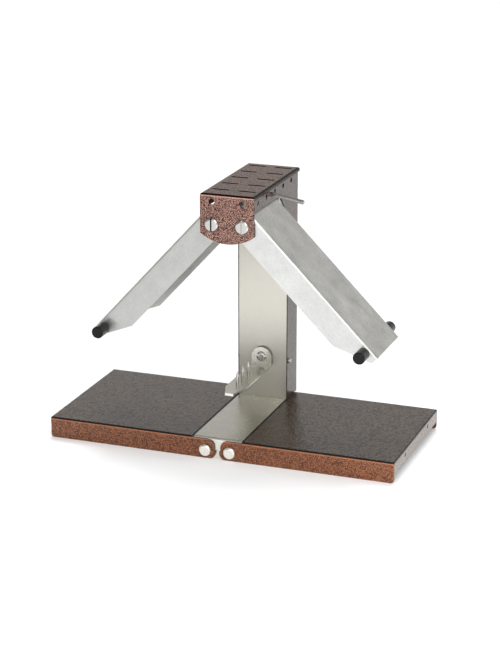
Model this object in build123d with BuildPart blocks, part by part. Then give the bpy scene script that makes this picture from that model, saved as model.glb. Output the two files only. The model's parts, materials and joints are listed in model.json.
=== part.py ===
from build123d import *
import os
from math import acos, cos, degrees, radians, sin

# Folding raclette melter for a quarter wheel of cheese.
# Two heating arms hang from the head of a column and slope down on each side of the cheese,
# which stands on a narrow tilting tongue. The base is a stainless spine between two leaves
# that fold down on pivot bolts. Millimetres, +X right, +Y back, +Z up. The origin is the
# middle of the whole object's box, on the table.

# ---------------------------------------------------------------- driving dimensions
# Sheet metal and clearances
painted_sheet = 1.2
stainless_sheet = 1.2
arm_sheet = 1.0
reflector_sheet = 0.5
bracket_sheet = 2.0
bracket_flange = 14.0
running_gap = 0.2
bore_clearance = 0.05
fitting_gap = 0.1

# Bolts, nuts and washers
dome_share = 0.8
nut_flats_ratio = 1.6
washer_ratio = 2.0
thread_overhang = 1.0

# Base
base_width = 420.0
leaf_depth = 182.0
base_height = 24.8
spine_width = 60.8
seam_gap = 1.4
side_skirt_height = 15.0
skirt_corner_radius = 5.0
leaf_bend_radius = 2.0
spine_bend_radius = 2.5
side_hole_diameter = 5.0
side_hole_spacing = 95.0
side_hole_drop = 6.2

# Leaf pivots
leaf_pivot_spread = 29.6
leaf_pivot_height = 9.8
ear_reach_above = 11.1
ear_reach_below = 12.6
ear_upper_radius = 9.5
ear_lower_radius = 8.0
ear_top_drop = 1.2
leaf_washer_thickness = 0.6
leaf_bolt_diameter = 5.0
leaf_bolt_head_diameter = 14.4
leaf_bolt_head_height = 3.0
leaf_nut_thickness = 3.2

# Column, which starts ahead of the leaves' rear edges and ends behind them
column_width = 62.4
column_lap = 30.0
column_overhang = 6.0
column_bend_radius = 2.0
front_plate_return = 12.0
front_plate_drop = 22.0
foot_screw_spread = 40.0
foot_screw_pitch = 12.0
plate_screw_heights = (72.0, 196.0)

# Head: its front is measured back from the leaves' front, its heights down from its top,
# and its rows of slots and vents in from its front and rear
head_front = 33.8
head_top = 303.0
cover_lip = 4.5
cover_bend_radius = 2.6
rear_lip = 12.0
front_plate_side_drop = 46.0
front_plate_middle_drop = 57.0
front_vent_diameter = 7.0
front_vent_spread = 36.6
front_vent_drop = 9.0
head_wall_drop = 19.4
head_wall_front_gap = 0.8
gusset_reach = 28.0
gusset_drop = 51.0
slot_length = 21.0
slot_width = 3.8
slot_spread = 32.0
slot_rows = 5
slot_end_gaps = (22.5, 12.1)
vent_diameter = 6.0
vent_count = 5
vent_end_gaps = (15.2, 27.0)
vent_drop = 9.8

# Heating arms, in their own directions: along the arm and out through its back plate.
# The pivots lie below the head's top. Friction holds each arm where it was last left.
arm_pivot_spread = 36.4
arm_pivot_drop = 35.4
right_arm_drop_angle = 45.2
left_arm_drop_angle = 47.6
arm_width = 85.0
arm_reach = 209.0
back_plate_height = 16.8
flange_depth = 31.0
heel_length = 9.5
chamfer_length = 43.5
tip_lip = 9.5
tip_corner_radius = 3.5
arm_bend_radius = 2.8
friction_washer_thickness = 1.0
arm_bolt_diameter = 6.0
arm_bolt_head_diameter = 16.5
arm_bolt_head_height = 3.4
arm_bolt_slot = 1.6
arm_nut_thickness = 5.0
sleeve_wall = 2.0

# Heater inside each arm
reflector_start = 30.0
reflector_tip_gap = 25.0
reflector_flat = 56.0
reflector_side_drop = 12.5
reflector_side_gap = 0.5
element_diameter = 6.5
element_runs = 4
element_height = 4.2
element_run_pitch = 20.0
element_inner_turn = 48.0
element_turn_gap = 16.0
element_support_gaps = (14.0, 10.0)
element_support_thickness = 2.0
element_support_depth = 15.0
element_support_shoulder = 2.0
terminal_block_start = 14.0
terminal_block_length = 14.0
terminal_block_width = 74.0
terminal_block_depth = 15.0
terminal_block_corner_radius = 1.5
terminal_pin_diameter = 3.0
terminal_pin_length = 5.0

# Handling knobs on a rod through the tip of each arm
knob_tip_gap = 14.2
knob_height = 7.9
knob_diameter = 14.2
knob_length = 18.5
knob_edge_radius = 1.2
knob_socket_depth = 12.0
knob_rod_diameter = 6.0

# Locking rod across the head
rod_diameter = 5.0
rod_drop = 10.0
rod_left_end = 1.5
rod_straight_out = 5.0
rod_out = 40.5
rod_droop_angle = 10.0
rod_bend_radius = 25.0
rod_tip_radius = 1.0

# Tilting cheese holder
holder_height = 67.0
holder_sheet = 1.5
holder_width = 25.0
holder_nose_width = 10.0
holder_nose = 38.5
holder_taper_end = 60.0
holder_lip = 3.0
holder_plate_gap = 3.0
holder_pivot_rise = 10.5
holder_plate_top_margin = 11.0
holder_bolt_diameter = 6.0
holder_bolt_head_diameter = 12.0
holder_bolt_head_height = 3.0
holder_bolt_slot = 1.4
holder_washer_diameter = 16.0
holder_nut_thickness = 5.0
spike_diameter = 3.6
spike_length = 19.0
spike_point = 7.0
spike_places = (66.0, 84.0, 102.0)

# Small fixings
small_screw_diameter = 3.5
small_screw_head_diameter = 7.0
small_screw_head_height = 2.2
small_screw_slot = 0.8
plate_screw_bite = 3.0
small_nut_thickness = 2.6
cover_screw_spread = 36.0
cover_screw_drop = 7.5

# Mains entry and terminals in the column
gland_height = 50.0
gland_thread_diameter = 16.0
gland_hex = 22.0
gland_collar_thickness = 5.0
gland_cap_diameter = 20.0
gland_cap_length = 11.0
gland_cap_edge_radius = 2.5
gland_bore = 7.0
gland_nut_thickness = 4.5
terminal_strip_height = 96.0
terminal_strip_size = (34.0, 16.0, 18.0)
terminal_strip_ways = 3
terminal_strip_bore = 3.2
terminal_strip_corner_radius = 1.5
strip_screw_stop = 2.0
cutout_height = 236.0
cutout_diameter = 16.0
cutout_thickness = 8.0
cutout_edge_radius = 1.5
earth_screw_height = 72.0


def row_of(count, first, last):
    """Evenly spaced places from the first to the last."""
    return [first + (last - first) * place / (count - 1) for place in range(count)]


# ---------------------------------------------------------------- derived places
column_front = leaf_depth - column_lap
column_rear = leaf_depth + column_overhang
overall_rear = column_rear + gland_collar_thickness + gland_cap_length
overall_front = leaf_bolt_head_height + running_gap
base_front = -(overall_rear - overall_front) / 2
base_rear = base_front + leaf_depth
leaf_inner_x = spine_width / 2 + seam_gap
leaf_length = base_width / 2 - leaf_inner_x
leaf_pivot_x = leaf_pivot_spread / 2
pivot_stack = painted_sheet + running_gap + leaf_washer_thickness
spine_front = base_front + pivot_stack
spine_length = leaf_depth - 2 * pivot_stack

column_front_y = base_front + column_front
column_rear_y = base_front + column_rear
column_half = column_width / 2
head_width = column_width + 2 * painted_sheet
head_front_y = base_front + head_front
head_rear_y = column_rear_y + painted_sheet
head_depth = head_rear_y - head_front_y
wall_top = head_top - cover_bend_radius - fitting_gap
head_wall_bottom = head_top - head_wall_drop
gusset_bottom = head_top - gusset_drop
front_plate_top = head_top - front_plate_drop
front_plate_side_bottom = head_top - front_plate_side_drop
front_plate_bottom = head_top - front_plate_middle_drop
front_vent_height = head_top - front_vent_drop
vent_height = head_top - vent_drop
cover_screw_height = head_top - cover_screw_drop
rod_height = head_top - rod_drop
wall_front_y = head_front_y + painted_sheet + head_wall_front_gap

arm_front_y = head_front_y + painted_sheet + running_gap + friction_washer_thickness
arm_rear_y = arm_front_y + arm_width
arm_mid_y = (arm_front_y + arm_rear_y) / 2
bracket_y = arm_rear_y + running_gap + friction_washer_thickness
arm_pivot_x = arm_pivot_spread / 2
arm_pivot_height = head_top - arm_pivot_drop
arm_inner_width = arm_width - 2 * arm_sheet
arm_bolt_bore = arm_bolt_diameter + 2 * bore_clearance
heel_radius = flange_depth - back_plate_height
knob_reach = arm_reach - knob_tip_gap
reflector_end = arm_reach - reflector_tip_gap
element_outer_turn = reflector_end - element_turn_gap
element_support_places = (
    element_inner_turn + element_support_gaps[0],
    element_outer_turn - element_support_gaps[1],
)

small_hole = small_screw_diameter + 2 * bore_clearance
vent_places = row_of(vent_count, head_front_y + vent_end_gaps[0], head_rear_y - vent_end_gaps[1])
slot_places = row_of(slot_rows, head_front_y + slot_end_gaps[0], head_rear_y - slot_end_gaps[1])
rod_y = (vent_places[1] + vent_places[2]) / 2

holder_pivot_z = holder_height + holder_pivot_rise
holder_back_y = column_front_y - holder_plate_gap


# ---------------------------------------------------------------- helpers
def upright_plane(y):
    """Plane facing the front at depth y: its X is the object's X, its Y is the height."""
    return Plane.XZ.offset(-y)


def facing(x, y, z, direction):
    """Plane at a point whose normal runs along Y: -1 faces the front, +1 the rear."""
    return Plane(origin=(x, y, z), x_dir=(-direction, 0, 0), z_dir=(0, direction, 0))


def arm_plane(y):
    """Side view plane of the right arm: X runs along the arm, Y out through its back."""
    angle = radians(right_arm_drop_angle)
    return Plane(
        origin=(arm_pivot_x, y, arm_pivot_height),
        x_dir=(cos(angle), 0, -sin(angle)),
        z_dir=(0, -1, 0),
    )


def arm_point(along, out, y):
    """Point of the right arm at rest, in the object's frame."""
    return arm_plane(y).from_local_coords((along, out, 0))


def arm_section(along):
    """Plane square to the right arm: X is the object's Y, Y runs out through the back."""
    return Plane(origin=arm_point(along, 0, arm_mid_y), x_dir=(0, 1, 0), z_dir=arm_direction)


arm_direction = arm_plane(0).x_dir
arm_normal = arm_plane(0).y_dir


def domed_bolt(head_diameter, head_height, shank_diameter, shank_length, slot=0.0):
    """Bolt along Z with a domed head above its seat at the origin and a shank below it."""
    with BuildPart() as bolt:
        Cylinder(head_diameter / 2, head_height, align=(Align.CENTER, Align.CENTER, Align.MIN))
        fillet(bolt.edges().group_by(Axis.Z)[-1], radius=head_height * dome_share)
        Cylinder(shank_diameter / 2, shank_length, align=(Align.CENTER, Align.CENTER, Align.MAX))
        if slot:
            with Locations((0, 0, head_height)):
                Box(slot, head_diameter, head_height, mode=Mode.SUBTRACT)
    return bolt.part


def hex_nut(across_flats, thickness, bore):
    """Hexagon nut along Z that stands on the origin."""
    with BuildPart() as nut:
        with BuildSketch():
            RegularPolygon(across_flats / 2, 6, major_radius=False)
            Circle(bore / 2, mode=Mode.SUBTRACT)
        extrude(amount=thickness)
    return nut.part


def ring(outer_diameter, thickness, bore):
    """Washer or sleeve along Z that stands on the origin."""
    with BuildPart() as washer:
        with BuildSketch():
            Circle(outer_diameter / 2)
            Circle(bore / 2, mode=Mode.SUBTRACT)
        extrude(amount=thickness)
    return washer.part


def placed(piece, planes):
    """Copies of one piece, each standing on one of the planes, as one group."""
    with BuildPart() as group:
        with Locations(*planes):
            add(piece)
    return group.part


def write(piece, name):
    """Label a finished piece and write its STEP file."""
    piece.label = name
    export_step(piece, f"parts/{name}.step")


os.makedirs("parts", exist_ok=True)

# ---------------------------------------------------------------- spine
leaf_bolt_bore = leaf_bolt_diameter + 2 * bore_clearance
foot_mid_y = (column_front_y + spine_front + spine_length) / 2
foot_screw_places = [
    (side * foot_screw_spread / 2, foot_mid_y + end * foot_screw_pitch / 2)
    for side in (-1, 1)
    for end in (-1, 1)
]

with BuildPart() as spine_tray:
    with Locations((0, spine_front, 0)):
        Box(spine_width, spine_length, base_height, align=(Align.CENTER, Align.MIN, Align.MIN))
    spine_ends = spine_tray.edges().group_by(Axis.Z)[-1].filter_by(Axis.X)
    fillet(spine_ends, radius=spine_bend_radius)
    offset(amount=-stainless_sheet, openings=spine_tray.faces().sort_by(Axis.Z)[0])
    with BuildSketch(upright_plane(spine_front)):
        with Locations((-leaf_pivot_x, leaf_pivot_height), (leaf_pivot_x, leaf_pivot_height)):
            Circle(leaf_bolt_bore / 2)
    extrude(amount=-spine_length, mode=Mode.SUBTRACT)
    with Locations(*[(x, y, base_height) for x, y in foot_screw_places]):
        Hole(small_hole / 2, depth=2 * stainless_sheet)
write(spine_tray.part, "spine_tray")

# ---------------------------------------------------------------- leaves
ear_high_x = leaf_pivot_x - ear_reach_above
ear_low_x = leaf_pivot_x - ear_reach_below
ear_root_x = leaf_inner_x + skirt_corner_radius
ear_top = base_height - ear_top_drop
leaf_outer_x = base_width / 2

with BuildPart() as right_leaf:
    with Locations((leaf_inner_x, base_front, 0)):
        Box(leaf_length, leaf_depth, base_height, align=(Align.MIN, Align.MIN, Align.MIN))
    bent_edges = right_leaf.edges().group_by(Axis.Z)[-1].sort_by(Axis.X)[1:]
    bent_edges += right_leaf.edges().filter_by(Axis.Z).group_by(Axis.X)[-1]
    fillet(bent_edges, radius=leaf_bend_radius)
    open_faces = [right_leaf.faces().sort_by(Axis.Z)[0], right_leaf.faces().sort_by(Axis.X)[0]]
    offset(amount=-painted_sheet, openings=open_faces)

    # The outer skirt is shorter than the front and rear skirts.
    with Locations((leaf_outer_x, base_front + leaf_depth / 2, 0)):
        Box(
            2 * leaf_bend_radius + 2 * painted_sheet,
            leaf_depth - 2 * painted_sheet - 2 * leaf_bend_radius,
            2 * (base_height - side_skirt_height),
            mode=Mode.SUBTRACT,
        )
    # The lower outer corners of the front and rear skirts are rounded.
    with BuildSketch(upright_plane(base_front)):
        with Locations((leaf_outer_x, 0)):
            Rectangle(2 * skirt_corner_radius, 2 * skirt_corner_radius)
        with Locations((leaf_outer_x - skirt_corner_radius, skirt_corner_radius)):
            Circle(skirt_corner_radius, mode=Mode.SUBTRACT)
    extrude(amount=-leaf_depth, mode=Mode.SUBTRACT)

    # Each skirt carries on past the seam as an ear around its pivot bolt.
    for ear_face in (base_front, base_rear - painted_sheet):
        with BuildSketch(upright_plane(ear_face)) as ear:
            with BuildLine():
                Polyline(
                    (ear_root_x, 0),
                    (ear_low_x, 0),
                    (ear_low_x, leaf_pivot_height),
                    (ear_high_x, leaf_pivot_height),
                    (ear_high_x, ear_top),
                    (leaf_inner_x, ear_top),
                    (leaf_inner_x, base_height - leaf_bend_radius),
                    (ear_root_x, base_height - leaf_bend_radius),
                    close=True,
                )
            make_face()
            low_corner = ear.vertices().group_by(Axis.X)[0].sort_by(Axis.Y)[0]
            fillet(low_corner, radius=ear_lower_radius)
            high_corner = ear.vertices().group_by(Axis.Y)[-1].sort_by(Axis.X)[0]
            fillet(high_corner, radius=ear_upper_radius)
            with Locations((leaf_pivot_x, leaf_pivot_height)):
                Circle(leaf_bolt_bore / 2, mode=Mode.SUBTRACT)
        extrude(amount=-painted_sheet)

    # Two holes through the outer skirt.
    with BuildSketch(Plane.YZ.offset(leaf_outer_x)):
        with Locations((base_front + leaf_depth / 2, base_height - side_hole_drop)):
            with GridLocations(side_hole_spacing, 0, 2, 1):
                Circle(side_hole_diameter / 2)
    extrude(amount=-2 * painted_sheet, mode=Mode.SUBTRACT)
write(right_leaf.part, "right_leaf")

with BuildPart() as left_leaf:
    mirror(right_leaf.part, about=Plane.YZ)
write(left_leaf.part, "left_leaf")

# ---------------------------------------------------------------- leaf pivots
leaf_bolt_planes = []
leaf_washer_planes = []
leaf_nut_planes = []
for pivot_side in (-1, 1):
    for face_y, outward in ((base_front, -1), (base_rear, 1)):
        pivot_x = pivot_side * leaf_pivot_x
        seat_y = face_y + outward * running_gap
        wall_y = face_y - outward * pivot_stack
        inner_y = wall_y - outward * stainless_sheet
        leaf_bolt_planes.append(facing(pivot_x, seat_y, leaf_pivot_height, outward))
        leaf_washer_planes.append(facing(pivot_x, wall_y, leaf_pivot_height, outward))
        leaf_nut_planes.append(facing(pivot_x, inner_y, leaf_pivot_height, -outward))

leaf_shank = running_gap + pivot_stack + stainless_sheet + leaf_nut_thickness + thread_overhang
leaf_bolt = domed_bolt(
    leaf_bolt_head_diameter, leaf_bolt_head_height, leaf_bolt_diameter, leaf_shank
)
leaf_washer = ring(washer_ratio * leaf_bolt_diameter, leaf_washer_thickness, leaf_bolt_bore)
leaf_nut = hex_nut(nut_flats_ratio * leaf_bolt_diameter, leaf_nut_thickness, leaf_bolt_bore)
write(placed(leaf_bolt, leaf_bolt_planes), "leaf_pivot_bolts")
write(placed(leaf_washer, leaf_washer_planes), "leaf_pivot_washers")
write(placed(leaf_nut, leaf_nut_planes), "leaf_pivot_nuts")

# ---------------------------------------------------------------- column
column_inner_half = column_half - painted_sheet
plate_screw_y = column_front_y + front_plate_return / 2 + stainless_sheet / 2

with BuildPart() as column_shell:
    # Side walls: the column's flanges, drawn forward at the top as the head's walls.
    for wall_x in (-column_half, column_inner_half):
        with BuildSketch(Plane.YZ.offset(wall_x)):
            with BuildLine():
                Polyline(
                    (column_rear_y, base_height),
                    (column_front_y, base_height),
                    (column_front_y, gusset_bottom),
                    (column_front_y - gusset_reach, head_wall_bottom),
                    (wall_front_y, head_wall_bottom),
                    (wall_front_y, wall_top),
                    (column_rear_y, wall_top),
                    close=True,
                )
            make_face()
        extrude(amount=painted_sheet)
    # Rear wall and foot.
    with Locations((0, column_rear_y, base_height)):
        Box(
            column_width,
            painted_sheet,
            wall_top - base_height,
            align=(Align.CENTER, Align.MAX, Align.MIN),
        )
        Box(
            column_width,
            column_rear - column_front - stainless_sheet - fitting_gap,
            painted_sheet,
            align=(Align.CENTER, Align.MAX, Align.MIN),
        )
    rear_corners = column_shell.edges().filter_by(Axis.Z).group_by(Axis.Y)[-1]
    fillet(rear_corners, radius=column_bend_radius)

    with BuildSketch(Plane.YZ.offset(-column_half)):
        with Locations(*[(place, vent_height) for place in vent_places]):
            Circle(vent_diameter / 2)
        with Locations((rod_y, rod_height)):
            Circle(rod_diameter / 2 + fitting_gap)
        with Locations(*[(plate_screw_y, height) for height in plate_screw_heights]):
            Circle(small_hole / 2)
    extrude(amount=column_width, mode=Mode.SUBTRACT)

    with BuildSketch(upright_plane(column_rear_y)):
        with Locations((0, gland_height)):
            Circle(gland_thread_diameter / 2 + bore_clearance)
        with Locations((0, terminal_strip_height), (0, earth_screw_height), (0, cutout_height)):
            Circle(small_hole / 2)
        with Locations((0, cover_screw_height)):
            with GridLocations(cover_screw_spread, 0, 2, 1):
                Circle(small_hole / 2)
    extrude(amount=2 * painted_sheet, mode=Mode.SUBTRACT, both=True)

    with Locations(*[(x, y, base_height + painted_sheet) for x, y in foot_screw_places]):
        Hole(small_hole / 2, depth=2 * painted_sheet)
write(column_shell.part, "column_shell")

with BuildPart() as column_front_plate:
    plate_bottom = base_height + fitting_gap
    with Locations((0, column_front_y, plate_bottom)):
        Box(
            2 * column_inner_half,
            front_plate_return,
            front_plate_top - plate_bottom,
            align=(Align.CENTER, Align.MIN, Align.MIN),
        )
    with Locations((0, column_front_y + stainless_sheet, plate_bottom)):
        Box(
            2 * (column_inner_half - stainless_sheet),
            front_plate_return,
            front_plate_top - plate_bottom,
            align=(Align.CENTER, Align.MIN, Align.MIN),
            mode=Mode.SUBTRACT,
        )
    # The returns stop above the column's foot plate.
    with Locations((0, column_front_y + stainless_sheet, plate_bottom)):
        Box(
            column_width,
            front_plate_return,
            2 * (painted_sheet + fitting_gap),
            align=(Align.CENTER, Align.MIN, Align.CENTER),
            mode=Mode.SUBTRACT,
        )
    with BuildSketch(Plane.YZ.offset(-column_half)):
        with Locations(*[(plate_screw_y, height) for height in plate_screw_heights]):
            Circle(small_hole / 2)
    extrude(amount=column_width, mode=Mode.SUBTRACT)
    with BuildSketch(upright_plane(column_front_y)):
        with Locations((0, holder_pivot_z)):
            Circle(holder_bolt_diameter / 2 + bore_clearance)
    extrude(amount=-2 * stainless_sheet, mode=Mode.SUBTRACT)
write(column_front_plate.part, "column_front_plate")

# ---------------------------------------------------------------- head
with BuildPart() as head_cover:
    with Locations((0, head_front_y, head_top)):
        Box(head_width, head_depth, cover_lip, align=(Align.CENTER, Align.MIN, Align.MAX))
    cover_edges = head_cover.edges().group_by(Axis.Z)[-1]
    fillet(cover_edges, radius=cover_bend_radius)
    offset(amount=-painted_sheet, openings=head_cover.faces().sort_by(Axis.Z)[0])

    # The front plate ends in a shallow arc below the arm pivots.
    plate_join_z = head_top - cover_lip
    with BuildSketch(upright_plane(head_front_y)):
        with BuildLine():
            Polyline(
                (-head_width / 2, front_plate_side_bottom),
                (-head_width / 2, plate_join_z),
                (head_width / 2, plate_join_z),
                (head_width / 2, front_plate_side_bottom),
            )
            ThreePointArc(
                (head_width / 2, front_plate_side_bottom),
                (0, front_plate_bottom),
                (-head_width / 2, front_plate_side_bottom),
            )
        make_face()
    extrude(amount=-painted_sheet)
    with Locations((0, head_rear_y, plate_join_z)):
        Box(
            head_width - 4 * cover_bend_radius,
            painted_sheet,
            rear_lip - cover_lip,
            align=(Align.CENTER, Align.MAX, Align.MAX),
        )

    with BuildSketch(upright_plane(head_front_y)):
        with Locations((0, front_vent_height)):
            with GridLocations(front_vent_spread, 0, 2, 1):
                Circle(front_vent_diameter / 2)
        with Locations((0, arm_pivot_height)):
            with GridLocations(arm_pivot_spread, 0, 2, 1):
                Circle(arm_bolt_bore / 2)
    extrude(amount=-2 * painted_sheet, mode=Mode.SUBTRACT)
    with BuildSketch(upright_plane(head_rear_y)):
        with Locations((0, cover_screw_height)):
            with GridLocations(cover_screw_spread, 0, 2, 1):
                Circle(small_hole / 2)
    extrude(amount=2 * painted_sheet, mode=Mode.SUBTRACT, both=True)
    with BuildSketch(Plane.XY.offset(head_top)):
        for slot_y in slot_places:
            with Locations((0, slot_y)):
                with GridLocations(slot_spread, 0, 2, 1):
                    SlotOverall(slot_length, slot_width)
    extrude(amount=-2 * painted_sheet, mode=Mode.SUBTRACT)
write(head_cover.part, "head_cover")

bracket_half = column_inner_half
bracket_bottom = arm_pivot_height - heel_radius - bracket_sheet

with BuildPart() as head_bracket:
    with Locations((0, bracket_y, bracket_bottom)):
        Box(
            2 * bracket_half,
            bracket_flange,
            wall_top - bracket_bottom,
            align=(Align.CENTER, Align.MIN, Align.MIN),
        )
    with Locations((0, bracket_y + bracket_sheet, bracket_bottom)):
        Box(
            2 * (bracket_half - bracket_sheet),
            bracket_flange,
            wall_top - bracket_bottom,
            align=(Align.CENTER, Align.MIN, Align.MIN),
            mode=Mode.SUBTRACT,
        )
    with BuildSketch(upright_plane(bracket_y)):
        with Locations((0, arm_pivot_height)):
            with GridLocations(arm_pivot_spread, 0, 2, 1):
                Circle(arm_bolt_bore / 2)
    extrude(amount=-2 * bracket_sheet, mode=Mode.SUBTRACT)
    # Clear of the side vents that the flanges would cover.
    with BuildSketch(Plane.YZ.offset(-column_half)):
        with Locations(*[(place, vent_height) for place in vent_places]):
            Circle(vent_diameter / 2 + bracket_sheet / 2)
    extrude(amount=column_width, mode=Mode.SUBTRACT)
write(head_bracket.part, "head_bracket")

# ---------------------------------------------------------------- arm pivots
arm_shank = bracket_y + bracket_sheet + arm_nut_thickness + thread_overhang - head_front_y
arm_bolt = domed_bolt(
    arm_bolt_head_diameter, arm_bolt_head_height, arm_bolt_diameter, arm_shank, arm_bolt_slot
)
pivot_sides = (-arm_pivot_x, arm_pivot_x)
arm_bolt_planes = [facing(x, head_front_y, arm_pivot_height, -1) for x in pivot_sides]
arm_nut_planes = [
    facing(x, bracket_y + bracket_sheet, arm_pivot_height, 1) for x in pivot_sides
]
arm_washer_planes = [
    facing(x, head_front_y + painted_sheet, arm_pivot_height, 1) for x in pivot_sides
]
arm_washer_planes += [facing(x, bracket_y, arm_pivot_height, -1) for x in pivot_sides]
write(placed(arm_bolt, arm_bolt_planes), "arm_pivot_bolts")
arm_nut = hex_nut(nut_flats_ratio * arm_bolt_diameter, arm_nut_thickness, arm_bolt_bore)
write(placed(arm_nut, arm_nut_planes), "arm_pivot_nuts")
arm_washer = ring(washer_ratio * arm_bolt_diameter, friction_washer_thickness, arm_bolt_bore)
write(placed(arm_washer, arm_washer_planes), "arm_friction_washers")

# ---------------------------------------------------------------- heating arms
inner_out = back_plate_height - arm_sheet
heel_turn = degrees(acos(-heel_length / heel_radius))
chamfer_start = arm_reach - chamfer_length
arm_axis = Axis((0, 0, 0), arm_direction)
arm_out_axis = Axis((0, 0, 0), arm_normal)
rod_bore = knob_rod_diameter + 2 * bore_clearance

with BuildPart() as arm_shell:
    with BuildSketch(arm_plane(arm_front_y)) as side_view:
        with BuildLine():
            heel = CenterArc((0, 0), heel_radius, heel_turn, 270 - heel_turn)
            Polyline(
                heel @ 1,
                (chamfer_start, -heel_radius),
                (arm_reach, back_plate_height - tip_lip),
                (arm_reach, back_plate_height),
                (-heel_length, back_plate_height),
                heel @ 0,
            )
        make_face()
        tip_corner = side_view.vertices().group_by(Axis.X)[-1].sort_by(Axis.Y)[0]
        fillet(tip_corner, radius=tip_corner_radius)
    extrude(amount=-arm_width)
    long_edges = arm_shell.edges().filter_by(arm_axis)
    fillet(long_edges.group_by(arm_out_axis)[-1], radius=arm_bend_radius)
    with BuildSketch(arm_plane(arm_front_y + arm_sheet)):
        with Locations((arm_reach - arm_sheet, inner_out)):
            Rectangle(
                arm_reach + 2 * heel_radius,
                2 * flange_depth,
                align=(Align.MAX, Align.MAX),
            )
    extrude(amount=-arm_inner_width, mode=Mode.SUBTRACT)
    inner_edges = arm_shell.edges(Select.LAST).filter_by(arm_axis).group_by(arm_out_axis)[-1]
    fillet(inner_edges, radius=arm_bend_radius - arm_sheet)
    with BuildSketch(arm_plane(arm_front_y)):
        Circle(arm_bolt_bore / 2)
        with Locations((knob_reach, knob_height)):
            Circle(rod_bore / 2)
    extrude(amount=-arm_width, mode=Mode.SUBTRACT)

pivot_sleeve = ring(arm_bolt_bore + 2 * sleeve_wall, arm_inner_width, arm_bolt_bore)
with BuildPart() as arm_pivot_sleeve:
    with Locations(facing(arm_pivot_x, arm_front_y + arm_sheet, arm_pivot_height, 1)):
        add(pivot_sleeve)

reflector_side_width = arm_inner_width / 2 - reflector_side_gap
with BuildPart() as reflector:
    with BuildSketch(arm_section(reflector_start)):
        with BuildLine():
            Polyline(
                (-reflector_side_width, inner_out - reflector_side_drop),
                (-reflector_flat / 2, inner_out),
                (reflector_flat / 2, inner_out),
                (reflector_side_width, inner_out - reflector_side_drop),
            )
            offset(amount=reflector_sheet, side=Side.RIGHT)
        make_face()
    extrude(amount=reflector_end - reflector_start)

# Tubular element: straight runs joined by half turns, its ends in the terminal block.
element_ends = terminal_block_start + terminal_block_length / 2
run_places = [(run - (element_runs - 1) / 2) * element_run_pitch for run in range(element_runs)]
turns = [element_inner_turn if run % 2 else element_outer_turn for run in range(element_runs - 1)]
run_ends = [element_ends, *turns, element_ends]
element_plane = Plane(
    origin=arm_point(0, element_height, arm_mid_y), x_dir=arm_direction, z_dir=arm_normal
)
half_turn = element_run_pitch / 2
with BuildPart() as heating_element:
    with BuildLine(element_plane) as element_path:
        for run, place in enumerate(run_places):
            run_end = run_ends[run + 1]
            Line((run_ends[run], place), (run_end, place))
            if run < element_runs - 1:
                bulge = -half_turn if run % 2 else half_turn
                ThreePointArc(
                    (run_end, place),
                    (run_end + bulge, place + half_turn),
                    (run_end, place + element_run_pitch),
                )
    start_plane = Plane(
        origin=element_path.line @ 0, x_dir=(0, 1, 0), z_dir=element_path.line % 0
    )
    with BuildSketch(start_plane):
        Circle(element_diameter / 2)
    sweep()

element_bore = element_diameter + 2 * fitting_gap
support_top = inner_out - reflector_sheet
support_half = run_places[-1] + element_diameter
support_shoulder = reflector_flat / 2 - element_support_shoulder
with BuildPart() as element_supports:
    for support_place in element_support_places:
        with BuildSketch(arm_section(support_place)):
            with BuildLine():
                Polyline(
                    (-support_half, support_top - element_support_depth),
                    (-support_half, element_height),
                    (-support_shoulder, support_top),
                    (support_shoulder, support_top),
                    (support_half, element_height),
                    (support_half, support_top - element_support_depth),
                    close=True,
                )
            make_face()
            for run_place in run_places:
                with Locations((run_place, element_height)):
                    Circle(element_bore / 2, mode=Mode.SUBTRACT)
        extrude(amount=element_support_thickness)

block_mid = inner_out - terminal_block_depth / 2
with BuildPart() as terminal_block:
    with BuildSketch(arm_section(terminal_block_start)):
        with Locations((0, block_mid)):
            RectangleRounded(
                terminal_block_width, terminal_block_depth, terminal_block_corner_radius
            )
    extrude(amount=terminal_block_length)
    with BuildSketch(arm_section(element_ends)):
        for end_place in (run_places[0], run_places[-1]):
            with Locations((end_place, element_height)):
                Circle(element_bore / 2)
    extrude(amount=terminal_block_length, mode=Mode.SUBTRACT)
    with BuildSketch(arm_section(terminal_block_start)):
        for end_place in (run_places[0], run_places[-1]):
            with Locations((end_place, element_height)):
                Circle(terminal_pin_diameter / 2 + bore_clearance)
    extrude(amount=terminal_block_length, mode=Mode.SUBTRACT)

with BuildPart() as terminal_pins:
    with BuildSketch(arm_section(element_ends)):
        for end_place in (run_places[0], run_places[-1]):
            with Locations((end_place, element_height)):
                Circle(terminal_pin_diameter / 2)
    extrude(amount=-terminal_pin_length - terminal_block_length / 2)

knob_center = arm_point(knob_reach, knob_height, arm_front_y)
rod_length = arm_width + 2 * (knob_socket_depth - fitting_gap)
with BuildPart() as knob_rod:
    with BuildSketch(arm_plane(arm_front_y - knob_socket_depth + fitting_gap)):
        with Locations((knob_reach, knob_height)):
            Circle(knob_rod_diameter / 2)
    extrude(amount=-rod_length)

with BuildPart() as knob:
    Cylinder(knob_diameter / 2, knob_length, align=(Align.CENTER, Align.CENTER, Align.MIN))
    fillet(knob.edges().group_by(Axis.Z)[-1], radius=knob_edge_radius)
    with BuildSketch():
        Circle(knob_rod_diameter / 2 + bore_clearance)
    extrude(amount=knob_socket_depth, mode=Mode.SUBTRACT)
knob_planes = [
    facing(knob_center.X, arm_front_y, knob_center.Z, -1),
    facing(knob_center.X, arm_rear_y, knob_center.Z, 1),
]

arm_pieces = {
    "arm_shell": arm_shell.part,
    "arm_pivot_sleeve": arm_pivot_sleeve.part,
    "reflector": reflector.part,
    "heating_element": heating_element.part,
    "element_supports": element_supports.part,
    "terminal_block": terminal_block.part,
    "terminal_pins": terminal_pins.part,
    "knob_rod": knob_rod.part,
    "arm_knobs": placed(knob.part, knob_planes),
}
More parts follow.
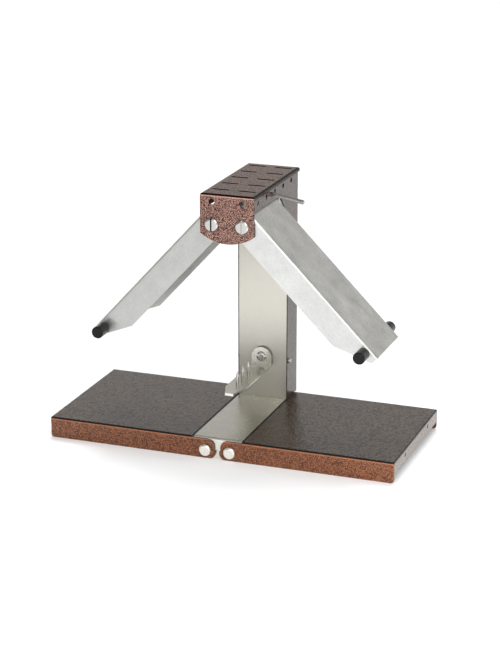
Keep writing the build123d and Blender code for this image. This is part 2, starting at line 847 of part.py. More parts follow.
# The left arm is the right one mirrored and turned on its pivot to its own rest angle.
left_pivot = Axis((-arm_pivot_x, 0, arm_pivot_height), (0, 1, 0))
left_turn = right_arm_drop_angle - left_arm_drop_angle
for piece_name, arm_piece in arm_pieces.items():
    write(arm_piece, f"right_{piece_name}")
    with BuildPart() as left_piece:
        mirror(arm_piece, about=Plane.YZ)
    write(left_piece.part.rotate(left_pivot, left_turn), f"left_{piece_name}")

# ---------------------------------------------------------------- locking rod
bend_x = column_half + rod_straight_out
droop = radians(rod_droop_angle)
droop_run = rod_out - rod_straight_out
with BuildPart() as locking_rod:
    with BuildLine() as rod_path:
        FilletPolyline(
            (-column_half - rod_left_end, rod_y, rod_height),
            (bend_x, rod_y, rod_height),
            (bend_x + droop_run * cos(droop), rod_y, rod_height - droop_run * sin(droop)),
            radius=rod_bend_radius,
        )
    with BuildSketch(Plane(origin=rod_path.line @ 0, z_dir=rod_path.line % 0)):
        Circle(rod_diameter / 2)
    sweep()
    fillet(locking_rod.edges().sort_by(Axis.X)[-1], radius=rod_tip_radius)
write(locking_rod.part, "locking_rod")

# ---------------------------------------------------------------- tilting cheese holder
holder_nose_y = base_front + holder_nose
holder_plate_top = holder_pivot_z + holder_plate_top_margin
holder_bolt_bore = holder_bolt_diameter + 2 * bore_clearance

with BuildPart() as holder_tongue:
    with BuildSketch(Plane.XY.offset(holder_height)):
        with BuildLine():
            Polyline(
                (-holder_width / 2, holder_back_y),
                (-holder_width / 2, base_front + holder_taper_end),
                (-holder_nose_width / 2, holder_nose_y),
                (holder_nose_width / 2, holder_nose_y),
                (holder_width / 2, base_front + holder_taper_end),
                (holder_width / 2, holder_back_y),
                close=True,
            )
        make_face()
        with Locations(*[(0, base_front + place) for place in spike_places]):
            Circle(spike_diameter / 2 + bore_clearance, mode=Mode.SUBTRACT)
    extrude(amount=-holder_sheet)
    # Turned-down nose and upturned back plate.
    with Locations((0, holder_nose_y, holder_height)):
        Box(
            holder_nose_width,
            holder_sheet,
            holder_lip,
            align=(Align.CENTER, Align.MIN, Align.MAX),
        )
    with BuildSketch(upright_plane(holder_back_y)):
        with Locations((0, holder_height - holder_sheet)):
            Rectangle(
                holder_width,
                holder_plate_top - holder_height + holder_sheet - holder_width / 2,
                align=(Align.CENTER, Align.MIN),
            )
        with Locations((0, holder_plate_top - holder_width / 2)):
            Circle(holder_width / 2)
        with Locations((0, holder_pivot_z)):
            Circle(holder_bolt_bore / 2, mode=Mode.SUBTRACT)
    extrude(amount=holder_sheet)
write(holder_tongue.part, "holder_tongue")

with BuildPart() as spike:
    with BuildSketch(Plane.XZ):
        with BuildLine():
            Polyline(
                (0, -holder_sheet),
                (spike_diameter / 2, -holder_sheet),
                (spike_diameter / 2, spike_length - spike_point),
                (0, spike_length),
                close=True,
            )
        make_face()
    revolve(axis=Axis.Z)
with BuildPart() as holder_spikes:
    with Locations(*[(0, base_front + place, holder_height) for place in spike_places]):
        add(spike.part)
write(holder_spikes.part, "holder_spikes")

holder_bolt_seat = holder_back_y - holder_sheet - running_gap
holder_bolt_end = column_front_y + stainless_sheet + holder_nut_thickness + thread_overhang
holder_bolt = domed_bolt(
    holder_bolt_head_diameter,
    holder_bolt_head_height,
    holder_bolt_diameter,
    holder_bolt_end - holder_bolt_seat,
    holder_bolt_slot,
)
with BuildPart() as holder_pivot_bolt:
    with Locations(facing(0, holder_bolt_seat, holder_pivot_z, -1)):
        add(holder_bolt)
write(holder_pivot_bolt.part, "holder_pivot_bolt")

with BuildPart() as holder_friction_washer:
    with Locations(facing(0, column_front_y, holder_pivot_z, -1)):
        add(ring(holder_washer_diameter, holder_plate_gap - running_gap, holder_bolt_bore))
write(holder_friction_washer.part, "holder_friction_washer")

with BuildPart() as holder_pivot_nut:
    with Locations(facing(0, column_front_y + stainless_sheet, holder_pivot_z, 1)):
        add(hex_nut(nut_flats_ratio * holder_bolt_diameter, holder_nut_thickness, holder_bolt_bore))
write(holder_pivot_nut.part, "holder_pivot_nut")

# ---------------------------------------------------------------- small screws and nuts
def small_screw(shank_length, slot=0.0):
    """Domed screw of the small size along Z, its head above its seat at the origin."""
    return domed_bolt(
        small_screw_head_diameter,
        small_screw_head_height,
        small_screw_diameter,
        shank_length,
        slot,
    )


small_nut = hex_nut(nut_flats_ratio * small_screw_diameter, small_nut_thickness, small_hole)
foot_screw = small_screw(painted_sheet + stainless_sheet + small_nut_thickness + thread_overhang)
foot_screw_planes = [
    Plane(origin=(x, y, base_height + painted_sheet)) for x, y in foot_screw_places
]
foot_nut_planes = [
    Plane(origin=(x, y, base_height - stainless_sheet), x_dir=(1, 0, 0), z_dir=(0, 0, -1))
    for x, y in foot_screw_places
]
write(placed(foot_screw, foot_screw_planes), "column_foot_screws")
write(placed(small_nut, foot_nut_planes), "column_foot_nuts")

cover_grip = 2 * painted_sheet + small_nut_thickness + thread_overhang
cover_screw = small_screw(cover_grip, small_screw_slot)
cover_sides = (-cover_screw_spread / 2, cover_screw_spread / 2)
cover_screw_planes = [facing(x, head_rear_y, cover_screw_height, 1) for x in cover_sides]
cover_nut_planes = [
    facing(x, column_rear_y - painted_sheet, cover_screw_height, -1) for x in cover_sides
]
write(placed(cover_screw, cover_screw_planes), "head_cover_screws")
write(placed(small_nut, cover_nut_planes), "head_cover_nuts")

plate_grip = painted_sheet + stainless_sheet + plate_screw_bite
plate_screw = small_screw(plate_grip, small_screw_slot)
plate_screw_planes = [
    Plane(
        origin=(side * column_half, plate_screw_y, height),
        x_dir=(0, 1, 0),
        z_dir=(side, 0, 0),
    )
    for side in (-1, 1)
    for height in plate_screw_heights
]
write(placed(plate_screw, plate_screw_planes), "front_plate_screws")

# ---------------------------------------------------------------- mains entry
with BuildPart() as cable_gland:
    with BuildSketch(upright_plane(column_rear_y)):
        with Locations((0, gland_height)):
            RegularPolygon(gland_hex / 2, 6, major_radius=False)
    extrude(amount=-gland_collar_thickness)
    with BuildSketch(upright_plane(column_rear_y + gland_collar_thickness)):
        with Locations((0, gland_height)):
            Circle(gland_cap_diameter / 2)
    extrude(amount=-gland_cap_length)
    fillet(cable_gland.edges().group_by(Axis.Y)[-1], radius=gland_cap_edge_radius)
    with BuildSketch(upright_plane(column_rear_y)):
        with Locations((0, gland_height)):
            Circle(gland_thread_diameter / 2)
    extrude(amount=painted_sheet + gland_nut_thickness + thread_overhang)
    with BuildSketch(upright_plane(column_rear_y)):
        with Locations((0, gland_height)):
            Circle(gland_bore / 2)
    extrude(amount=overall_rear - column_front, mode=Mode.SUBTRACT, both=True)
write(cable_gland.part, "cable_gland")

column_inner_rear = column_rear_y - painted_sheet
with BuildPart() as gland_nut:
    with Locations(facing(0, column_inner_rear, gland_height, -1)):
        add(
            hex_nut(gland_hex, gland_nut_thickness, gland_thread_diameter + 2 * bore_clearance)
        )
write(gland_nut.part, "gland_nut")

# ---------------------------------------------------------------- terminals in the column
strip_width, strip_depth, strip_tall = terminal_strip_size
with BuildPart() as terminal_strip:
    with Locations((0, column_inner_rear, terminal_strip_height)):
        Box(strip_width, strip_depth, strip_tall, align=(Align.CENTER, Align.MAX, Align.CENTER))
    fillet(terminal_strip.edges().filter_by(Axis.Z), radius=terminal_strip_corner_radius)
    with BuildSketch(Plane.XY.offset(terminal_strip_height)):
        with Locations((0, column_inner_rear - strip_depth / 2)):
            with GridLocations(strip_width / terminal_strip_ways, 0, terminal_strip_ways, 1):
                Circle(terminal_strip_bore / 2)
    extrude(amount=strip_tall, mode=Mode.SUBTRACT, both=True)
    with BuildSketch(upright_plane(column_rear_y)):
        with Locations((0, terminal_strip_height)):
            Circle(small_hole / 2)
    extrude(amount=2 * strip_depth, mode=Mode.SUBTRACT, both=True)
write(terminal_strip.part, "terminal_strip")

strip_grip = painted_sheet + strip_depth - strip_screw_stop
strip_screw = small_screw(strip_grip, small_screw_slot)
with BuildPart() as terminal_strip_screw:
    with Locations(facing(0, column_rear_y, terminal_strip_height, 1)):
        add(strip_screw)
write(terminal_strip_screw.part, "terminal_strip_screw")

with BuildPart() as earth_screw:
    with Locations(facing(0, column_rear_y, earth_screw_height, 1)):
        add(cover_screw)
write(earth_screw.part, "earth_screw")
with BuildPart() as earth_nut:
    with Locations(facing(0, column_inner_rear, earth_screw_height, -1)):
        add(small_nut)
write(earth_nut.part, "earth_nut")

with BuildPart() as thermal_cutout:
    with Locations(facing(0, column_inner_rear, cutout_height, -1)):
        Cylinder(
            cutout_diameter / 2,
            cutout_thickness,
            align=(Align.CENTER, Align.CENTER, Align.MIN),
        )
    fillet(thermal_cutout.edges().group_by(Axis.Y)[0], radius=cutout_edge_radius)
    with BuildSketch(upright_plane(column_rear_y)):
        with Locations((0, cutout_height)):
            Circle(small_hole / 2)
    extrude(amount=painted_sheet + cutout_thickness / 2, mode=Mode.SUBTRACT)
write(thermal_cutout.part, "thermal_cutout")

cutout_grip = painted_sheet + cutout_thickness / 2 - fitting_gap
cutout_screw = small_screw(cutout_grip, small_screw_slot)
with BuildPart() as thermal_cutout_screw:
    with Locations(facing(0, column_rear_y, cutout_height, 1)):
        add(cutout_screw)
write(thermal_cutout_screw.part, "thermal_cutout_screw")
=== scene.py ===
"""Looks of the folding raclette melter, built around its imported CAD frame.

Every piece is a CAD node, so this script holds the finishes, the studio and the camera.
Lengths are metres, with x to the right, y to the rear and z up. Textures use object
coordinates, which are the frame's own.
"""

import json
import math

import bpy
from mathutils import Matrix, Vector


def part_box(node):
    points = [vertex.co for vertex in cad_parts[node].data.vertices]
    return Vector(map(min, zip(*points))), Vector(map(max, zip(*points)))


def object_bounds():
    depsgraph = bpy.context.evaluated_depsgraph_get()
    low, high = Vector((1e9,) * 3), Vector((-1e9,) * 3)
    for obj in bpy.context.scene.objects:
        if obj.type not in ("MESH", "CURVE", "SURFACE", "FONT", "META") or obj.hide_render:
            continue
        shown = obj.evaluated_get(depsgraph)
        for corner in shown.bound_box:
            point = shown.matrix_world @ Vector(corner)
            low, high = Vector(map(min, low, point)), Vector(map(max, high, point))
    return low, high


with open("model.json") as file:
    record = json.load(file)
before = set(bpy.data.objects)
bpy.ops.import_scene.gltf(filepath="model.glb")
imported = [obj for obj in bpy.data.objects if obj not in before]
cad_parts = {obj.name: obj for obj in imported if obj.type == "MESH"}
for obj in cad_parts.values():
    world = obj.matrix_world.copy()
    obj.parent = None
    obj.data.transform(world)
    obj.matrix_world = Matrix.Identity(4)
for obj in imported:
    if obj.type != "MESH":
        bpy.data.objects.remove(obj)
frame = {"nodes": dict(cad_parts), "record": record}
cad_low, cad_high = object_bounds()
nodes = frame["nodes"]

HEAD_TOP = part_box("head_cover")[1].z
LEAF_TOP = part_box("left_leaf")[1].z
TRAY_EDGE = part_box("spine_tray")[1].x
ARM_BOLT_HEAD_RADIUS = 0.00825
ARM_BOLT_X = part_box("arm_pivot_bolts")[1].x - ARM_BOLT_HEAD_RADIUS
ARM_SLOPE = {"left": math.radians(47.6), "right": math.radians(45.2)}  # drop below level

HEAD_BEND_SHADE = 0.0021  # how far the painted dark comes down from the head's top: the bend's dark reflection and the shade in the top's slots
LEAF_BEND_SHADE = 0.0020  # and from a leaf's top, over its bend
LEAF_SEAM_SHADE_WITHIN = 0.12  # a leaf's sides nearer the middle than this face the spine, and are painted dark as the shade in the seam
TRAY_WALL = 0.0011  # the tray's side walls, and a little more, painted black as the shade in the seams

# Painted dark reflection on the bends
PAINTED_BEND_SHADE = (0.006, 0.003, 0.002)
# Painted shade in the seams beside the tray
PAINTED_GAP_SHADE = (0.015, 0.013, 0.012)
# Painted shade in a bolt's slot
PAINTED_SLOT_SHADE = (0.03, 0.027, 0.024)
ABOVE_ALL = 10.0  # a height that no piece reaches


# ---------------------------------------------------------------- node helpers
class Graph:
    """Shader nodes of a material or a world, made and linked in one call."""

    def __init__(self, tree):
        self.tree = tree

    def node(self, kind, settings=None, **sockets):
        """A new node with these settings, and its sockets filled or linked."""
        made = self.tree.nodes.new(kind)
        for key, value in (settings or {}).items():
            setattr(made, key, value)
        for key, value in sockets.items():
            self.feed(made.inputs[key.replace("_", " ")], value)
        return made

    def feed(self, socket, value):
        """Links a socket to another node's output, or sets its value."""
        if isinstance(value, bpy.types.NodeSocket):
            self.tree.links.new(value, socket)
        else:
            socket.default_value = value

    def spread(self, value, low, high, to_low=0.0, to_high=1.0):
        """Maps a value from one range onto another, clamped."""
        made = self.node(
            "ShaderNodeMapRange",
            Value=value,
            From_Min=low,
            From_Max=high,
            To_Min=to_low,
            To_Max=to_high,
        )
        return made.outputs["Result"]

    def maths(self, operation, first, second=0.0):
        """One arithmetic step."""
        made = self.node("ShaderNodeMath", {"operation": operation})
        self.feed(made.inputs[0], first)
        self.feed(made.inputs[1], second)
        return made.outputs[0]

    def axes(self, vector):
        """The three parts of a vector, by the axis's capital letter."""
        return self.node("ShaderNodeSeparateXYZ", Vector=vector).outputs


class Finish(Graph):
    """A material under construction: its node tree and its Principled surface."""

    def __init__(self, name, colour, roughness, metallic=0.0):
        self.material = bpy.data.materials.new(name)
        self.material.use_nodes = True
        self.material.diffuse_color = (*colour, 1.0)
        super().__init__(self.material.node_tree)
        self.surface = self.tree.nodes["Principled BSDF"]
        self.wear(Base_Color=(*colour, 1.0), Roughness=roughness, Metallic=metallic)
        coordinates = self.node("ShaderNodeTexCoord").outputs
        self.place = coordinates["Object"]
        self.facing = coordinates["Normal"]

    def wear(self, **sockets):
        """Sets or links sockets of the surface by name."""
        for key, value in sockets.items():
            self.feed(self.surface.inputs[key.replace("_", " ")], value)

    def stretched(self, turn=(0, 0, 0), scale=(1, 1, 1)):
        """Object coordinates turned by Euler angles and then scaled along each axis."""
        turned = self.node("ShaderNodeMapping", Vector=self.place, Rotation=turn)
        scaled = self.node("ShaderNodeMapping", Vector=turned.outputs[0], Scale=scale)
        return scaled.outputs[0]

    def noise(self, scale, detail=2.0, roughness=0.5, vector=None):
        """Fractal noise from 0 to 1, scale being in cycles per metre."""
        made = self.node(
            "ShaderNodeTexNoise",
            Vector=vector or self.place,
            Scale=scale,
            Detail=detail,
            Roughness=roughness,
        )
        return made.outputs["Fac"]

    def mix(self, share, first, second):
        """Colour that goes from the first to the second as share goes from 0 to 1."""
        made = self.tree.nodes.new("ShaderNodeMix")
        made.data_type = "RGBA"
        self.feed(made.inputs[0], share)
        self.feed(made.inputs[6], (*first, 1.0) if isinstance(first, tuple) else first)
        self.feed(made.inputs[7], (*second, 1.0) if isinstance(second, tuple) else second)
        return made.outputs[2]

    def bump(self, height, distance):
        """Raises the surface by a height from 0 to 1 times distance."""
        made = self.node("ShaderNodeBump", Height=height, Distance=distance, Strength=1.0)
        return made.outputs["Normal"]


def scaled_colour(colour, factor):
    """A colour with each channel multiplied."""
    return tuple(factor * channel for channel in colour)


# ---------------------------------------------------------------- hammered enamel
HAMMER_DEPTH = 0.0003
WEB_HEIGHT = 0.24  # the height of the marks at which the web has faded into a cell
BEND_FADE = 0.0004  # over which the copper goes over into the painted dark of the bend
HIGHLIGHT_BELOW_BEND = (0.0012, 0.0007)  # where the painted highlight line under the bend begins and where it is full
# Facings at which the paint turns to its painted side and top copies
FACES_SIDEWAYS = (0.55, 0.85)  # share of the normal along an axis: not yet, and wholly
FACES_UP = (0.52, 0.70)
LIES_LEVEL = (0.95, 0.99)


def hammer_marks(paint, cells_per_metre):
    """Height of hammered enamel, low along the web between its cells."""
    cells = paint.node(
        "ShaderNodeTexVoronoi",
        {"feature": "DISTANCE_TO_EDGE"},
        Vector=paint.place,
        Scale=cells_per_metre,
        Randomness=0.85,
    ).outputs["Distance"]
    flakes = paint.spread(paint.noise(1.3 * cells_per_metre, 2.0, 0.6), 0.3, 0.7)
    return paint.maths("SUBTRACT", cells, paint.maths("MULTIPLY", flakes, 0.12))


def hammered_paint(
    name, front, side, top, cells_per_metre, gloss, seam_shade_within=0.0, bend_shade_height=ABOVE_ALL
):
    """Hammered enamel, each pair of colours being its bright cells and the web between.

    It is one paint in lit and shaded copies: copper brown to the front and rear, its own
    pair painted for the light on faces to the sides, and painted nearly black from above,
    as the tops show in shade. Faces to the sides that are nearer the middle than
    seam_shade_within are painted as dark as the top, as the shade in the seam, and
    everything above bend_shade_height as the dark that the bend mirrors, with a painted
    highlight along a line just under that height.
    """
    paint = Finish(name, front[0], 0.2)
    relief = hammer_marks(paint, cells_per_metre)
    web = paint.spread(relief, 0.0, WEB_HEIGHT, 1.0, 0.0)
    drawn_out = paint.stretched(scale=(0.68, 0.31, 0.68))
    grain = paint.spread(paint.noise(cells_per_metre, 3.0, 0.7, drawn_out), 0.40, 0.60)

    facing = paint.axes(paint.facing)
    place = paint.axes(paint.place)
    # painted light and shade: faces to the sides take the side pair, faces upward the dark top
    # pair
    sideways = paint.spread(paint.maths("ABSOLUTE", facing["X"]), *FACES_SIDEWAYS)
    # painted shade in the seam, on faces to the sides near the middle
    inward = paint.spread(
        paint.maths("ABSOLUTE", place["X"]), seam_shade_within - 0.001, seam_shade_within, 1.0, 0.0
    )
    in_seam_shade = paint.maths("MULTIPLY", inward, sideways)
    # painted dark: the bend's reflection, and everything above bend_shade_height
    over_bend_shade = paint.spread(place["Z"], bend_shade_height, bend_shade_height + BEND_FADE)
    upward = paint.spread(facing["Z"], *FACES_UP)
    dark = paint.maths("MAXIMUM", paint.maths("MAXIMUM", upward, over_bend_shade), in_seam_shade)

    # painted highlight: a paler line just under the bend
    highlight_start, highlight_full = (bend_shade_height - below for below in HIGHLIGHT_BELOW_BEND)
    rim_highlight = paint.spread(place["Z"], highlight_start, highlight_full, 0.0, 0.5)
    copper = paint.mix(rim_highlight, paint.mix(web, *front), scaled_colour(front[0], 1.3))
    coat = paint.mix(sideways, copper, paint.mix(web, *side))
    level = paint.spread(facing["Z"], *LIES_LEVEL)
    # the curve of the bend is painted near black, as the dark that it mirrors
    bend = paint.maths("MAXIMUM", paint.maths("SUBTRACT", over_bend_shade, level), 0.0)
    enamel = paint.mix(bend, paint.mix(grain, top[1], top[0]), PAINTED_BEND_SHADE)
    height = paint.maths(
        "ADD",
        paint.maths("MULTIPLY", relief, paint.spread(dark, 0.0, 1.0, 1.0, 0.2)),
        paint.maths("MULTIPLY", grain, paint.spread(dark, 0.0, 1.0, 0.0, 0.3)),
    )
    paint.wear(
        Base_Color=paint.mix(dark, coat, enamel),
        Normal=paint.bump(height, HAMMER_DEPTH),
        Roughness=paint.spread(grain, 0.0, 1.0, 0.12, 0.21),
        Specular_IOR_Level=gloss,
    )
    return paint.material


# ---------------------------------------------------------------- metals
GRAIN_STRETCH = (90.0, 5000.0, 5000.0)  # noise cycles per metre along and across the grain
MOTTLE_PER_METRE = 520.0
MOTTLE_DEPTH = 0.000006
CLOUDS_PER_METRE = 40.0
FACES_FORE = (0.6, 0.9)
SLOT_HALF_WIDTH = (0.0008, 0.0010)  # where the dark is full and where it ends


def satin_steel(name, colour, roughness, along, tint=0.12, front=None, gap_shade_beyond=None):
    """Sheet steel with fine grain along one direction, faint clouds and handling marks.

    along is the grain's direction at rest, and tint is how far the marks change the
    colour, which is less on faces to the front and rear. Those may take a colour of their
    own, painted lighter or darker for how the light falls on them. Whatever is further to
    either side than gap_shade_beyond is painted black, as the shade in a seam.
    """
    steel = Finish(name, colour, roughness, 1.0)
    grain_axis = Vector(along).normalized()
    turn = grain_axis.rotation_difference(Vector((1, 0, 0))).to_euler()
    lines = steel.noise(1.0, 3.0, 0.6, steel.stretched(turn, GRAIN_STRETCH))
    mottle = steel.noise(MOTTLE_PER_METRE, 3.0, 0.7)
    clouds = steel.noise(CLOUDS_PER_METRE, 3.0, 0.6)
    marks = steel.maths("ADD", steel.maths("ADD", lines, mottle), clouds)
    marks = steel.spread(marks, 1.05, 1.95)
    fore = steel.spread(steel.maths("ABSOLUTE", steel.axes(steel.facing)["Y"]), *FACES_FORE)
    faintness = steel.spread(fore, 0.0, 1.0, 1.0, 0.5)
    contrast = steel.maths("MULTIPLY", steel.maths("SUBTRACT", marks, 0.5), faintness)
    shade = steel.maths("ADD", contrast, 0.5)

    def marked(plain):
        return steel.mix(
            shade, scaled_colour(plain, 1.0 - tint), scaled_colour(plain, 1.0 + tint)
        )

    worn = marked(colour)
    # painted light: faces to the front and rear are lit brighter or darker
    if front is not None:
        worn = steel.mix(fore, worn, marked(front))
    # painted shade: the side walls in the seams are black
    if gap_shade_beyond is not None:
        aside = steel.maths("ABSOLUTE", steel.axes(steel.place)["X"])
        in_gap_shade = steel.spread(aside, gap_shade_beyond - 0.0003, gap_shade_beyond)
        worn = steel.mix(in_gap_shade, worn, PAINTED_GAP_SHADE)
    grain = steel.node("ShaderNodeCombineXYZ", X=grain_axis.x, Y=grain_axis.y, Z=grain_axis.z)
    tangent = steel.node(
        "ShaderNodeVectorTransform",
        {"vector_type": "VECTOR", "convert_from": "OBJECT", "convert_to": "WORLD"},
        Vector=grain.outputs[0],
    )
    steel.wear(
        Base_Color=worn,
        Roughness=steel.spread(marks, 0.1, 0.9, roughness * 0.9, roughness * 1.1),
        Normal=steel.bump(mottle, MOTTLE_DEPTH),
        Anisotropic=0.75,
        Anisotropic_Rotation=0.25,
        Tangent=tangent.outputs[0],
    )
    return steel.material


def polished_metal(name, colour, roughness, slot_at=None):
    """Bright metal with faint smudges.

    slot_at is where along x one bolt's upright slot is, which is painted dark as the shade in it.
    """
    metal = Finish(name, colour, roughness, 1.0)
    smudges = metal.noise(160.0, 4.0, 0.6)
    metal.wear(Roughness=metal.spread(smudges, 0.35, 0.65, roughness * 0.6, roughness * 1.6))
    # painted shade in the slot
    if slot_at is not None:
        off_slot = metal.maths("SUBTRACT", metal.axes(metal.place)["X"], slot_at)
        off_slot = metal.maths("ABSOLUTE", off_slot)
        in_slot = metal.spread(off_slot, *SLOT_HALF_WIDTH, 1.0, 0.0)
        metal.wear(Base_Color=metal.mix(in_slot, colour, PAINTED_SLOT_SHADE))
    return metal.material


# ---------------------------------------------------------------- other finishes
def heater_sheath():
    """Tube sheath browned by heat in uneven bands."""
    sheath = Finish("heater_sheath", (0.16, 0.13, 0.11), 0.45, 0.85)
    bands = sheath.noise(45.0, 4.0, 0.6)
    sheath.wear(
        Base_Color=sheath.mix(
            sheath.spread(bands, 0.35, 0.65), (0.10, 0.075, 0.06), (0.27, 0.22, 0.19)
        ),
        Roughness=sheath.spread(bands, 0.3, 0.7, 0.35, 0.6),
    )
    return sheath.material


def ceramic():
    """Unglazed off-white ceramic with a fine tooth."""
    body = Finish("ceramic", (0.72, 0.68, 0.60), 0.7)
    tooth = body.noise(1800.0, 3.0, 0.6)
    body.wear(
        Base_Color=body.mix(body.spread(tooth, 0.3, 0.7), (0.66, 0.62, 0.54), (0.78, 0.74, 0.67)),
        Normal=body.bump(tooth, 0.00005),
    )
    return body.material


def moulded_black():
    """Black heat-resistant plastic, glossy with faint orange peel."""
    plastic = Finish("black_plastic", (0.004, 0.004, 0.004), 0.16)
    skin = plastic.noise(1400.0, 2.0, 0.5)
    plastic.wear(
        Base_Color=plastic.mix(skin, (0.002, 0.002, 0.002), (0.007, 0.007, 0.0065)),
        Roughness=plastic.spread(plastic.noise(90.0), 0.3, 0.7, 0.12, 0.2),
        Specular_IOR_Level=0.22,
        Normal=plastic.bump(skin, 0.00003),
    )
    return plastic.material


# ---------------------------------------------------------------- what each node wears
# Painted light and shade by facing: pale sides for the light they mirror, near-black tops in
# shade
leaf_paint = hammered_paint(
    "leaf_paint",
    front=((0.47, 0.172, 0.073), (0.063, 0.018, 0.0065)),
    side=((0.36, 0.30, 0.26), (0.15, 0.12, 0.10)),
    top=((0.083, 0.053, 0.032), (0.006, 0.004, 0.003)),
    cells_per_metre=680.0,
    gloss=0.4,
    seam_shade_within=LEAF_SEAM_SHADE_WITHIN,
    bend_shade_height=LEAF_TOP - LEAF_BEND_SHADE,
)
# Painted light and shade by facing: a brightly lit front, sides and top painted dark in shade
head_paint = hammered_paint(
    "head_paint",
    front=((0.65, 0.39, 0.32), (0.055, 0.023, 0.018)),
    side=((0.048, 0.020, 0.012), (0.008, 0.003, 0.001)),
    top=((0.124, 0.056, 0.031), (0.012, 0.006, 0.004)),
    cells_per_metre=780.0,
    gloss=0.06,
    bend_shade_height=HEAD_TOP - HEAD_BEND_SHADE,
)
# The same painted light and shade by facing, in darker pairs
column_paint = hammered_paint(
    "column_paint",
    front=((0.090, 0.045, 0.034), (0.020, 0.009, 0.006)),
    side=((0.108, 0.066, 0.049), (0.027, 0.014, 0.010)),
    top=((0.095, 0.044, 0.026), (0.022, 0.009, 0.004)),
    cells_per_metre=440.0,
    gloss=0.36,
)
# Front faces painted brighter as lit; side walls painted black as the shade in the seams
spine_steel = satin_steel(
    "spine_steel",
    (0.62, 0.60, 0.53),
    0.26,
    (0, 1, 0),
    front=(0.84, 0.82, 0.76),
    gap_shade_beyond=TRAY_EDGE - TRAY_WALL,
)
plate_steel = satin_steel("plate_steel", (0.66, 0.64, 0.58), 0.44, (0, 0, 1))
rod_steel = satin_steel("rod_steel", (0.39, 0.375, 0.355), 0.26, (1, 0, 0))
# The arms' faces to the front are painted as a lit copy on the right and a shaded copy on the
# left
arm_steel = {
    side: satin_steel(
        f"{side}_arm_steel",
        (0.65, 0.645, 0.61),
        0.36,
        (direction * math.cos(ARM_SLOPE[side]), 0.0, -math.sin(ARM_SLOPE[side])),
        tint=0.32,
        front=front,
    )
    for side, direction, front in (
        ("left", -1, (0.54, 0.54, 0.525)),
        ("right", 1, (0.62, 0.625, 0.615)),
    )
}
BOLT_COLOUR = (0.54, 0.53, 0.51)

finish_of_slot = {
    "hammered_paint": head_paint,
    "polished_steel": polished_metal("bolt_steel", BOLT_COLOUR, 0.1),
    "mirror_reflector": polished_metal("reflector_steel", (0.82, 0.82, 0.81), 0.1),
    "heater_sheath": heater_sheath(),
    "zinc_steel": polished_metal("zinc_plate", (0.55, 0.55, 0.53), 0.34),
    "ceramic": ceramic(),
    "black_plastic": moulded_black(),
    "brushed_stainless": plate_steel,
}
finish_of_node = {
    "left_leaf": leaf_paint,
    "right_leaf": leaf_paint,
    # the leaf bolts are a brighter copy of the bolt steel, painted for the light they catch
    "leaf_pivot_bolts": polished_metal("leaf_bolt_steel", (0.95, 0.93, 0.86), 0.24),
    # only the left arm bolt's slot gets painted shade
    "arm_pivot_bolts": polished_metal("arm_bolt_steel", BOLT_COLOUR, 0.1, -ARM_BOLT_X),
    "column_shell": column_paint,
    "spine_tray": spine_steel,
    "holder_tongue": spine_steel,
    "locking_rod": rod_steel,
    "left_arm_shell": arm_steel["left"],
    "right_arm_shell": arm_steel["right"],
}
for part in frame["record"]["subparts"]:
    name = part["node"]
    worn = finish_of_node.get(name) or finish_of_slot[part["material_slot"]]
    nodes[name].data.materials.clear()
    nodes[name].data.materials.append(worn)


# ---------------------------------------------------------------- studio
PALE_FLOOR = (0.95, 0.95, 0.95, 1.0)
WHITE = (1.0, 1.0, 1.0, 1.0)
RISES = (0.21, 0.42)  # upward share of a direction where overhead begins and is full
FRONT_LEFT = (-1.38, -1.12)  # x + y of a direction, from wholly front left to not at all


def seen_directly(graph):
    """1 for camera, mirror and see-through rays, and 0 for the rays that light things."""
    ray = graph.node("ShaderNodeLightPath").outputs
    looking = graph.maths("MAXIMUM", ray["Is Camera Ray"], ray["Is Glossy Ray"])
    return graph.maths("MAXIMUM", looking, ray["Is Transmission Ray"])


def white_floor(size, height, glow_strength):
    """White floor that keeps the object's shadow."""
    bpy.ops.mesh.primitive_plane_add(size=size, location=(0, 0, height))
    floor = bpy.context.object
    floor.name = "floor"
    pale = bpy.data.materials.new("pale_floor")
    pale.use_nodes = True
    tree = pale.node_tree
    tree.nodes.remove(tree.nodes["Principled BSDF"])
    graph = Graph(tree)
    matt = graph.node("ShaderNodeBsdfDiffuse", Color=PALE_FLOOR)
    level = graph.maths("MULTIPLY", seen_directly(graph), glow_strength)
    glow = graph.node("ShaderNodeEmission", Strength=level)
    both = graph.node("ShaderNodeAddShader")
    graph.feed(both.inputs[0], matt.outputs[0])
    graph.feed(both.inputs[1], glow.outputs[0])
    graph.feed(tree.nodes["Material Output"].inputs["Surface"], both.outputs[0])
    floor.data.materials.append(pale)


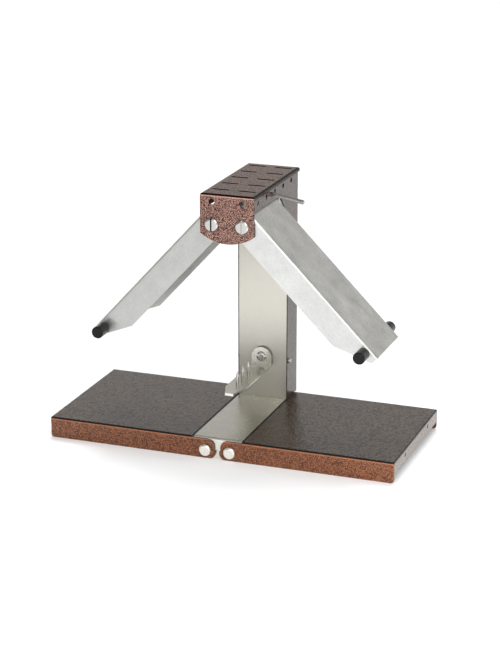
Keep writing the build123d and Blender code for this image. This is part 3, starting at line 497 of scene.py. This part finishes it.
def studio_world(level, overhead, front_left):
    """White backdrop that lights the object at a plain level.

    Mirror rays see white near the horizon, dimmer by one share overhead and by another
    to the front left, as in a studio lit from the right.
    """
    world = bpy.data.worlds.new("studio")
    bpy.context.scene.world = world
    world.use_nodes = True
    graph = Graph(world.node_tree)
    direction = graph.axes(graph.node("ShaderNodeTexCoord").outputs["Generated"])
    upper = graph.spread(direction["Z"], *RISES, 1.0, overhead)
    rearward_right = graph.maths("ADD", direction["X"], direction["Y"])
    left = graph.spread(rearward_right, *FRONT_LEFT, front_left, 1.0)
    to_camera = graph.node("ShaderNodeLightPath").outputs["Is Camera Ray"]
    mirrored = graph.maths("MULTIPLY", upper, left)
    shown = graph.node("ShaderNodeMix", Factor=to_camera, A=mirrored, B=1.0)
    shown_or_lighting = graph.node(
        "ShaderNodeMix", Factor=seen_directly(graph), A=level, B=shown.outputs["Result"]
    )
    background = world.node_tree.nodes["Background"]
    graph.feed(background.inputs["Color"], WHITE)
    graph.feed(background.inputs["Strength"], shown_or_lighting.outputs["Result"])


def aim(thing, place, target):
    """Puts a lamp or camera at a place, facing a point."""
    thing.location = place
    thing.rotation_mode = "QUATERNION"
    thing.rotation_quaternion = (Vector(target) - Vector(place)).to_track_quat("-Z", "Y")


def hang(name, lamp, place, target, mirrored):
    """Hangs a lamp out of the camera's sight, which metal mirrors or doesn't."""
    holder = bpy.data.objects.new(name, lamp)
    bpy.context.scene.collection.objects.link(holder)
    aim(holder, place, target)
    holder.visible_camera = False
    holder.visible_glossy = mirrored


def softbox(name, place, target, size, power, mirrored=True):
    """Square area lamp."""
    lamp = bpy.data.lights.new(name, "AREA")
    lamp.size = size
    lamp.energy = power
    hang(name, lamp, place, target, mirrored)


def ceiling_light(name, place, target, width, strength):
    """Wide even light from far above, width being the angle that it fills.

    It casts the soft shadow, and metal doesn't mirror it.
    """
    lamp = bpy.data.lights.new(name, "SUN")
    lamp.angle = width
    lamp.energy = strength
    hang(name, lamp, place, target, mirrored=False)


middle = (cad_low + cad_high) / 2
white_floor(size=12.0, height=cad_low.z, glow_strength=0.12)
studio_world(level=0.46, overhead=0.4, front_left=0.12)
ceiling_light("ceiling_light", (-0.2, 0.9, 1.8), middle, width=math.radians(30), strength=1.75)
softbox("key_light", (0.9, -0.9, 1.25), middle, size=1.2, power=9.5)
softbox("front_light", (0.35, -2.2, 0.80), middle, size=1.5, power=6.3)
softbox("side_light", (0.60, -0.55, 0.18), middle, size=0.3, power=2.0, mirrored=False)

# ---------------------------------------------------------------- camera
CAMERA_PLACE = (0.7679, -2.0711, 0.8494)
CAMERA_TARGET = (0.0, 0.0076, 0.1286)

camera_data = bpy.data.cameras.new("camera")
camera_data.lens = 110.12  # millimetres, as is the sensor
camera_data.sensor_width = 36.0
camera = bpy.data.objects.new("camera", camera_data)
bpy.context.scene.collection.objects.link(camera)
aim(camera, CAMERA_PLACE, CAMERA_TARGET)
bpy.context.scene.camera = camera

bpy.context.scene.view_settings.view_transform = "Standard"
